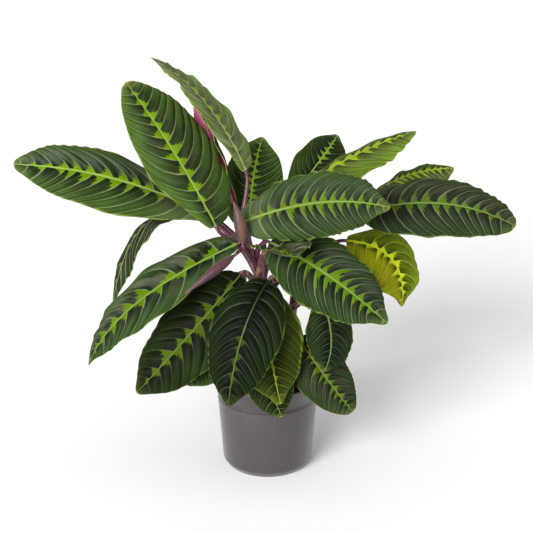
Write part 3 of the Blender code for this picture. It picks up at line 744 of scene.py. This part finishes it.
def tubeInto(work, points, radii, sides, layer, slotNumber=0):
    # a round tube of changing radius through the points, closed to a point at both ends
    points = [Vector(point) for point in points]
    frames = []
    side = Vector((1.0, 0.0, 0.0))
    for number, point in enumerate(points):
        before = points[max(number - 1, 0)]
        after = points[min(number + 1, len(points) - 1)]
        heading = (after - before).normalized()
        side = squared(side, heading)
        frames.append((point, heading, side, radii[number]))
    frames.insert(0, frames[0][:3] + (0.0,))
    frames.append(frames[-1][:3] + (0.0,))
    rows = len(frames) - 1
    grid = bmesh.ops.create_grid(work, x_segments=rows, y_segments=sides, size=0.5)["verts"]
    seen = {}
    for vert in grid:
        along, around = vert.co.x + 0.5, vert.co.y + 0.5
        seen[vert] = (along, around)
        point, heading, side, radius = frames[round(along * rows)]
        vert.co = roundAt(point, heading, side, math.tau * around, radius) * mm
    faces = {face for vert in grid for face in vert.link_faces}
    for face in faces:
        face.material_index = slotNumber
    mapBy(faces, layer, seen)
    bmesh.ops.remove_doubles(work, verts=grid, dist=0.01 * mm)
    bmesh.ops.recalc_face_normals(work, faces=[face for face in faces if face.is_valid])


def bladeSheet(name, number, leaf):
    # the blade as a thin sheet, from a grid with a row of points along each side vein
    work = bmesh.new()
    rows = leaf["veins"] * leaf["rowsPerVein"]
    bmesh.ops.create_grid(work, x_segments=rows, y_segments=leaf["columns"], size=1.0)
    veins = work.loops.layers.uv.new("veins")
    place = work.loops.layers.uv.new("place")
    seen = {}
    for vert in work.verts:
        vein = (vert.co.x + 1.0) / 2
        vein = (1 - leaf["rowSpread"]) * vein + leaf["rowSpread"] * vein ** 2
        across = math.copysign(abs(vert.co.y) ** leaf["columnSpread"], vert.co.y)
        along = alongOf(leaf, vein, across)
        turns = {side: turnOf(leaf, number, vein, side) for side in (-1, 1)}
        seen[vert] = (turns, across, along, across * halfWidth(leaf, along, across))
        vert.co = bladePoint(leaf, number, along, across, vein) * mm
    for face in work.faces:
        side = 1 if sum(seen[vert][1] for vert in face.verts) > 0 else -1
        for loop in face.loops:
            turns, across = seen[loop.vert][:2]
            loop[veins].uv = (turns[side], across)
            loop[place].uv = seen[loop.vert][2:]
    bmesh.ops.reverse_faces(work, faces=work.faces)
    return placed(name + "_sheet", meshOf(name + "_sheet", work))


def blade(name, number, leaf):
    sheet = bladeSheet(name, number, leaf)
    for slotNumber in range(3):
        sheet.data.materials.append(None)
    thicken(sheet, leaf["thickness"]).material_offset = 1
    solid = evaluated(sheet).to_mesh()
    work = bmesh.new()
    work.from_mesh(solid)
    bpy.data.objects.remove(sheet)
    # The midrib stands out below the blade.
    layer = work.loops.layers.uv.new("tube")
    points = []
    radii = []
    start, span = leaf["ribSpan"]
    least, most = leaf["ribSunk"]
    for share in shares(leaf["ribSteps"]):
        along = start + share * span
        point, heading, up = bladeFrame(leaf, along)
        radius = leaf["ribRadius"] * (1 - share) + leaf["ribTip"]
        sunk = least + most * ease(halfWidth(leaf, along, 1.0), *leaf["fullFrom"])
        points.append(point - up * (radius + sunk))
        radii.append(radius)
    tubeInto(work, points, radii, leaf["ribSides"], layer, 2)
    finish(name + "_blade", work,
           [leafTop(name + "_top", leaf, number), *undersides[leaf["under"]]], name)


ribs = stemMaterial("leafRib", tint(150, 80, 92), tint(150, 112, 84), tint(160, 130, 90))
greenRib = stemMaterial("leafRibGreen", tint(58, 66, 40), tint(84, 96, 52), tint(90, 96, 60))
undersides = dict(  # the blade's underside and the rib on it
    purple=(leafUnder("leafUnderside", 0.0), ribs),
    pink=(leafUnder("leafUndersidePink", 0.9), ribs),
    green=(leafUnder("leafUndersideGreen", 0.0, 0.8), greenRib),
)

for number, (name, leaf) in enumerate(leaves.items()):
    blade(name, number, leaf)
print("blades:", len(leaves))

# The stalks of a shoot run up side by side from the soil and leave it one by one.
stalkShape = dict(
    sides=12, coreSides=16, coreSteps=14,
    coreSlimmer=3.0,  # how much slimmer the stem between the stalks is
    footRadius=3.9, rootRadius=4.2, tipRadius=2.5,
    roots=(holeDepth - 2.0, 20.0),  # how far below the soil's top the stalk starts
    bendSteps=16, neck=3.0, pull=0.4, arch=0.18,
    sheath=1.3,  # how much thicker a stalk is where it leaves its shoot
    sheathTo=0.6,
    evenness=0.5,  # how evenly the stalks stand round the shoot
)


def columnPoint(shoot, along):
    x, y = shoot["foot"]
    return onCurve((x, y, soilTop - 10.0), shoot["bend"], shoot["crown"], along)


def stalkPath(points, fork, shoot, angle):
    shape = stalkShape
    rim = Vector((math.cos(angle), math.sin(angle), 0.0))
    x, y = shoot["foot"]
    path = []
    radii = []
    for drop in shape["roots"]:
        foot = Vector((x, y, soilTop - drop))
        path.append(foot + rim * (shoot["radius"][0] - shape["footRadius"]))
        radii.append(shape["footRadius"])
    for share in shares(max(4, round(shape["coreSteps"] * fork)))[1:]:
        here = share * fork
        radius = between((shape["footRadius"], shape["rootRadius"]), share)
        room = max(between(shoot["radius"], here) - radius, 1.0)
        path.append(columnPoint(shoot, here)[0] + rim * room)
        radii.append(radius)
    # Then it bends away from the shoot to the neck of its leaf.
    root, climb = columnPoint(shoot, fork)
    lean = path[-1] - root
    end, heading = onCurve(*points, 0.0)
    end = end - heading * stalkGap
    distance = (end - root).length
    neck = end - heading * shape["neck"]
    rise = root + climb * distance * shape["pull"]
    pulls = (root, rise, neck - heading * distance * shape["arch"], neck)
    for share in shares(shape["bendSteps"])[1:]:
        left = 1.0 - share
        weights = (left ** 3, 3 * left ** 2 * share, 3 * left * share ** 2, share ** 3)
        point = sum((pull * weight for pull, weight in zip(pulls, weights)), Vector())
        path.append(point + lean * (1 - ease(share, 0.0, shape["sheathTo"])))
        radius = between((shape["rootRadius"], shape["tipRadius"]), share)
        radii.append(radius + shape["sheath"] * hump(min(share / shape["sheathTo"], 1.0)))
    path.append(end)
    radii.append(shape["tipRadius"])
    return path, radii


def shootPiece(name, shoot):
    work = bmesh.new()
    layer = work.loops.layers.uv.new("tube")
    x, y = shoot["foot"]
    wide, slim = shoot["radius"]
    thin = wide - stalkShape["coreSlimmer"]
    steps = shares(stalkShape["coreSteps"])[1:]
    core = [Vector((x, y, soilTop - holeDepth + 1.0)), Vector((x, y, soilTop + 4.0))]
    core += [columnPoint(shoot, share)[0] for share in steps]
    coreRadii = [thin] * 2 + [thin + (slim - wide) * share for share in steps]
    tubeInto(work, core, coreRadii, stalkShape["coreSides"], layer)
    grown = [(leaf["base"], leaf["middle"], leaf["tip"], leaf["fork"]) for leaf in leaves.values()
             if leaf["shoot"] == name]
    grown += [(*leaf["points"], leaf["fork"]) for leaf in youngLeaves.values()
              if leaf["shoot"] == name]

    def bearing(item):
        away = Vector(item[0]) - columnPoint(shoot, item[3])[0]
        return math.atan2(away.y, away.x)

    # Sorted by the way each stalk leaves, and spread evenly round the shoot.
    grown.sort(key=bearing)
    evenness = stalkShape["evenness"]
    for number, item in enumerate(grown):
        even = -math.pi + math.tau * (number + 0.5) / len(grown)
        angle = evenness * even + (1 - evenness) * bearing(item)
        path, radii = stalkPath(item[:3], item[3], shoot, angle)
        tubeInto(work, path, radii, stalkShape["sides"], layer)
    finish(f"stalks_{name}", work, [stems], f"shoot_{name}")


stems = stemMaterial("leafStalk", tint(70, 32, 42), tint(82, 36, 50), tint(150, 120, 88))
for name, shoot in shoots.items():
    shootPiece(name, shoot)
print("stalks:", len(shoots), "shoots")

# A young leaf is still rolled up: a sheet wound round its axis, open along one seam.
rollShape = dict(
    rows=40, columns=36, turns=1.35,
    lap=0.28,  # how much closer the inner end lies
    slant=1.2,  # how far the seam winds round from end to end
    endRadius=1.0, widest=0.8, blunt=1.2, thickness=0.5,
)
rollPaint = dict(
    veinSlant=(26.0, 9.0), ragged=0.12, vein=tint(100, 54, 64), end=tint(110, 76, 60),
    rough=(0.25, 0.35), relief=0.0008, strength=0.6,
)


def rolledMaterial(name, dark, pale, split):
    # dark up to the split round it, pale past that, with slanting fine veins
    paint = rollPaint
    material, shader, spot = startMaterial(name, Sheen_Weight=0.15, Specular_IOR_Level=0.45)
    along, around = mapUv("tube")
    forward, onward = paint["veinSlant"]
    slant = maths("ADD", times(along, forward), times(around, onward))
    stripes = cloud(vector(slant, times(around, 3.0)), 1.0, 3.0, 0.6)
    patch = cloud(spot, 60.0)
    half = timesPlus(minus(patch, 0.5), paint["ragged"], around)
    colour = blend(fade(half, split - 0.05, split + 0.05), dark, pale)
    colour = blend(fade(stripes, 0.45, 0.7, 0.0, 0.4), colour, paint["vein"])
    colour = blend(fade(along, 0.8, 1.0, 0.0, 0.5), colour, paint["end"])
    dress(shader, colour, stripes, stripes, paint)
    return material


def rolledLeaf(name, leaf):
    shape = rollShape
    work = bmesh.new()
    bmesh.ops.create_grid(work, x_segments=shape["rows"], y_segments=shape["columns"], size=0.5)
    layer = work.loops.layers.uv.new("tube")
    seen = {}
    for vert in work.verts:
        along, around = vert.co.x + 0.5, vert.co.y + 0.5
        seen[vert] = (along, around)
        point, heading = onCurve(*leaf["points"], along)
        side = squared(Vector((1.0, 0.0, 0.0)), heading)
        full = hump(along ** shape["widest"]) ** shape["blunt"]
        radius = shape["endRadius"] + (leaf["radius"] - shape["endRadius"]) * full
        radius *= 1 - shape["lap"] + shape["lap"] * around
        turn = math.tau * shape["turns"] * around + leaf["seam"] + shape["slant"] * along
        vert.co = roundAt(point, heading, side, turn, radius) * mm
    mapBy(work.faces, layer, seen)
    bmesh.ops.recalc_face_normals(work, faces=work.faces)
    skin = rolledMaterial(leaf["skin"], tint(*leaf["dark"]), tint(*leaf["pale"]), leaf["split"])
    piece = finish(name + "_roll", work, [skin], name)
    thicken(piece, shape["thickness"])


for name, leaf in youngLeaves.items():
    rolledLeaf(name, leaf)
print("young leaves:", len(youngLeaves))

# The pot, turned from its profile.
potShape = dict(
    height=135.0, rimRadius=75.0, rimDrop=23.0, grooveHeight=7.0, grooveDepth=1.0,
    ring=0.4,  # the fine ring in the groove
    wallTop=73.0, wallFoot=65.5, chamfer=9.0, footRadius=59.5, footRing=4.0, channelRise=4.0,
    discRadius=25.0, wall=1.6, floorTop=6.0, drainHoles=6, drainRadius=5.0, drainRing=41.0,
    drainLength=20.0, drainSides=32, sides=144,
    sharpFrom=38.0,  # degrees
)
potPaint = dict(
    dark=tint(42, 34, 38), pale=tint(48, 40, 43), streak=tint(62, 52, 54), speck=tint(32, 28, 30),
    dustAndSheen=tint(100, 92, 88),
    dustAndSheenTo=0.012,  # metres up; below it the pot is paler: dust, and a painted highlight on the chamfer
    streakStretch=(160.0, 160.0, 9.0), rough=(0.18, 0.40), relief=0.0003, strength=0.4,
)


def plasticMaterial():
    paint = potPaint
    material, shader, spot = startMaterial("potPlastic", Specular_IOR_Level=0.5, Coat_Weight=0.9,
                                           Coat_Roughness=0.22)
    streak = cloud(stretched(spot, paint["streakStretch"]), 1.0, 4.0, 0.55)
    speck = cloud(spot, 700.0, 2.0)
    haze = cloud(spot, 18.0)
    colour = blend(fade(haze, 0.35, 0.7), paint["dark"], paint["pale"])
    colour = blend(fade(streak, 0.4, 0.75, 0.0, 0.3), colour, paint["streak"])
    colour = blend(fade(speck, 0.62, 0.75, 0.0, 0.25), colour, paint["speck"])
    # Paler towards the foot: dust, and a painted highlight along the chamfer.
    dustAndSheen = fade(heightOf(spot), paint["dustAndSheenTo"], 0.0, 0.0, 0.5)
    colour = blend(dustAndSheen, colour, paint["dustAndSheen"])
    dress(shader, colour, streak, timesPlus(speck, 0.5, streak), paint)
    return material


def turned(profile, sides):
    work = bmesh.new()
    points = [work.verts.new((radius * mm, 0.0, height * mm)) for radius, height in profile]
    edges = [work.edges.new(pair) for pair in zip(points, points[1:])]
    bmesh.ops.spin(work, geom=points + edges, cent=(0, 0, 0), axis=(0, 0, 1), angle=math.tau,
                   steps=sides, use_merge=True)
    bmesh.ops.remove_doubles(work, verts=work.verts, dist=0.01 * mm)
    bmesh.ops.recalc_face_normals(work, faces=work.faces)
    return work


def potProfile(p):
    top, rim, wall = p["height"], p["rimRadius"], p["wall"]
    grooveTop = top - p["rimDrop"]
    grooveLow = grooveTop - p["grooveHeight"]
    groove = p["wallTop"] - p["grooveDepth"]
    foot = p["footRadius"]
    return [
        (0.0, p["floorTop"]),  # inside, from the middle of the floor up to the lip
        (foot - wall, p["floorTop"]),
        (p["wallFoot"] - wall, p["chamfer"] + 2.0),
        (groove - wall, grooveLow),
        (rim - wall - 0.2, top - 0.8),
        (rim - wall + 0.15, top - 0.15),
        (rim - wall / 2, top),
        (rim - 0.25, top - 0.15),  # down the rim band, which ends in a soft edge
        (rim, top - 0.8),
        (rim - 0.05, top - 3.2),
        (rim - 0.45, top - 3.8),
        (rim - 0.75, grooveTop + 0.9),
        (rim - 1.0, grooveTop + 0.3),
        (groove + 1.1, grooveTop - 0.5),  # the groove with its fine ring
        (groove + 0.25, grooveTop - 1.7),
        (groove, grooveTop - 2.4),
        (groove, grooveLow + 3.9),
        (groove + p["ring"], grooveLow + 3.4),
        (groove + p["ring"], grooveLow + 2.8),
        (groove, grooveLow + 2.3),
        (groove, grooveLow + 1.0),
        (p["wallTop"] - 0.1, grooveLow + 0.2),  # the wall, the chamfer and the foot
        (p["wallTop"], grooveLow - 0.8),
        (p["wallFoot"] + 0.2, p["chamfer"] + 1.5),
        (p["wallFoot"], p["chamfer"]),
        (p["wallFoot"] - 0.8, p["chamfer"] - 1.6),
        (foot + 0.6, 0.9),
        (foot, 0.2),
        (foot - 0.8, 0.0),
        (foot - p["footRing"], 0.0),  # underneath, the channel and the disc
        (foot - p["footRing"] - 1.0, p["channelRise"]),
        (p["discRadius"] + 1.0, p["channelRise"]),
        (p["discRadius"], 0.0),
        (0.0, 0.0),
    ]


def pot(p):
    piece = finish("pot_body", turned(potProfile(p), p["sides"]), [plasticMaterial()], "pot")
    drills = []
    for number in range(p["drainHoles"]):
        turn = math.tau * number / p["drainHoles"]
        ring = p["drainRing"] * mm
        work = bmesh.new()
        bmesh.ops.create_cone(work, cap_ends=True, segments=p["drainSides"],
                              radius1=p["drainRadius"] * mm, radius2=p["drainRadius"] * mm,
                              depth=p["drainLength"] * mm)
        bmesh.ops.translate(work, verts=work.verts,
                            vec=(ring * math.cos(turn), ring * math.sin(turn),
                                 p["channelRise"] * mm))
        drills.append(placed("drain", meshOf("drain", work)))
        cut = piece.modifiers.new("drain", "BOOLEAN")
        cut.operation = "DIFFERENCE"
        cut.object = drills[-1]
    drilled = bpy.data.meshes.new_from_object(evaluated(piece))
    piece.modifiers.clear()
    piece.data = drilled
    for drill in drills:
        bpy.data.objects.remove(drill)
    for face in drilled.polygons:
        face.use_smooth = True
    drilled.set_sharp_from_angle(angle=math.radians(p["sharpFrom"]))


pot(potShape)
print("pot turned")

# The soil: a lumpy bed with loose crumbs on it.
soilShape = dict(
    rings=26, sides=120,
    below=0.3,  # the gap between it and the pot's floor
    gap=1.0,  # the gap between it and the pot's wall
    crown=2.5,  # how far its middle stands above its edge
    lump=1.6, lumpScale=(90.0, 260.0), crumbs=620, crumbSize=(0.8, 2.6), crumbHeight=(0.3, 1.8),
    seed=7,
)
soilPaint = dict(
    dark=tint(30, 22, 17), pale=tint(64, 47, 34), fleck=tint(92, 70, 50), rough=(0.15, 0.82),
    relief=0.002, strength=0.9,
)


def soilMaterial():
    paint = soilPaint
    material, shader, spot = startMaterial("pottingSoil", Specular_IOR_Level=0.25)
    crumbs = addNode("ShaderNodeTexVoronoi", {"Vector": spot, "Scale": 240.0})
    crumbs = crumbs.outputs["Distance"]
    grain = cloud(spot, 900.0, 4.0, 0.7)
    colour = blend(crumbs, paint["dark"], paint["pale"])
    colour = blend(fade(grain, 0.55, 0.8, 0.0, 0.6), colour, paint["fleck"])
    dress(shader, colour, grain, maths("ADD", crumbs, grain), paint)
    return material


def soil(shape, p):
    inner = p["wallTop"] - p["grooveDepth"] - p["wall"]
    gap = shape["gap"]
    profile = [
        (0.0, p["floorTop"] + shape["below"]),
        (p["footRadius"] - p["wall"] - gap, p["floorTop"] + shape["below"]),
        (p["wallFoot"] - p["wall"] - gap, p["chamfer"] + 2.0),
        (inner - gap, p["height"] - p["rimDrop"] - p["grooveHeight"]),
        (inner - 0.2, soilTop - 2.0),
    ]
    for share in shares(shape["rings"]):
        profile.append(((inner - 1.2) * (1 - share),
                        soilTop - 1.5 + shape["crown"] * ease(share, 0.0, 0.3)))
    work = turned(profile, shape["sides"])
    coarse, fine = shape["lumpScale"]
    for vert in work.verts:
        if vert.co.z > (soilTop - 3.0) * mm and vert.co.xy.length < (inner - 2.0) * mm:
            lump = noise.noise(vert.co * coarse) + 0.5 * noise.noise(vert.co * fine)
            vert.co.z += shape["lump"] * mm * lump
    draw = random.Random(shape["seed"])
    for number in range(shape["crumbs"]):
        turn = draw.uniform(0, math.tau)
        radius = (inner - 5.0) * math.sqrt(draw.random()) * mm
        size = draw.uniform(*shape["crumbSize"]) * draw.uniform(0.6, 1.0)
        ball = bmesh.ops.create_icosphere(work, subdivisions=1, radius=size * mm)["verts"]
        bmesh.ops.scale(work, verts=ball,
                        vec=(draw.uniform(0.7, 1.3), draw.uniform(0.7, 1.3),
                             draw.uniform(0.5, 0.9)))
        for vert in ball:
            vert.co *= draw.uniform(0.85, 1.15)
        rise = (soilTop + draw.uniform(*shape["crumbHeight"])) * mm
        bmesh.ops.translate(work, verts=ball,
                            vec=(radius * math.cos(turn), radius * math.sin(turn), rise))
    finish("potting_soil", work, [soilMaterial()], "soil")


soil(soilShape, potShape)
print("soil laid")

# Studio: a white floor, a pale surround and one big soft lamp from the front left.
studio = dict(
    surround=0.66, sunPower=4.6,
    sunSpread=34.0,  # degrees
    sunFrom=(-0.5, -0.85, 0.38),
    floorSize=30.0,  # metres
    floorShades=((0.90, 0.90, 0.90, 1.0), (0.92, 0.92, 0.92, 1.0)),
)


def floorMaterial():
    material, shader, spot = startMaterial("studioFloor", Specular_IOR_Level=0.1, Roughness=0.9)
    put(shader.inputs["Base Color"], blend(cloud(spot, 3.0), *studio["floorShades"]))
    return material


def buildStudio():
    work = bmesh.new()
    bmesh.ops.create_grid(work, x_segments=1, y_segments=1, size=studio["floorSize"] / 2)
    floor = placed("floor", meshOf("floor", work))
    floor.data.materials.append(floorMaterial())
    world = bpy.data.worlds.new("studio")
    world.use_nodes = True
    background = world.node_tree.nodes["Background"]
    background.inputs["Color"].default_value = (1.0, 1.0, 1.0, 1.0)
    background.inputs["Strength"].default_value = studio["surround"]
    bpy.context.scene.world = world
    lamp = bpy.data.lights.new("key", "SUN")
    lamp.energy = studio["sunPower"]
    lamp.angle = math.radians(studio["sunSpread"])
    lampObject = placed("key", lamp)
    lampObject.location = studio["sunFrom"]
    lampObject.rotation_euler = Vector(studio["sunFrom"]).to_track_quat("Z", "Y").to_euler()
    bpy.context.scene.view_settings.view_transform = "Standard"


# The camera stands at the photo's viewing angle, a little above the plant.
view = dict(at=(-0.0015, -1.6190, 0.8445), down=18.5, lens=81.19, sensor=36.0)


def buildCamera():
    camera = bpy.data.cameras.new("camera")
    camera.lens = view["lens"]
    camera.sensor_width = view["sensor"]
    cameraObject = placed("camera", camera)
    cameraObject.location = view["at"]
    cameraObject.rotation_euler = (math.radians(90 - view["down"]), 0.0, 0.0)
    bpy.context.scene.camera = cameraObject


buildStudio()
buildCamera()
print("studio and camera set")
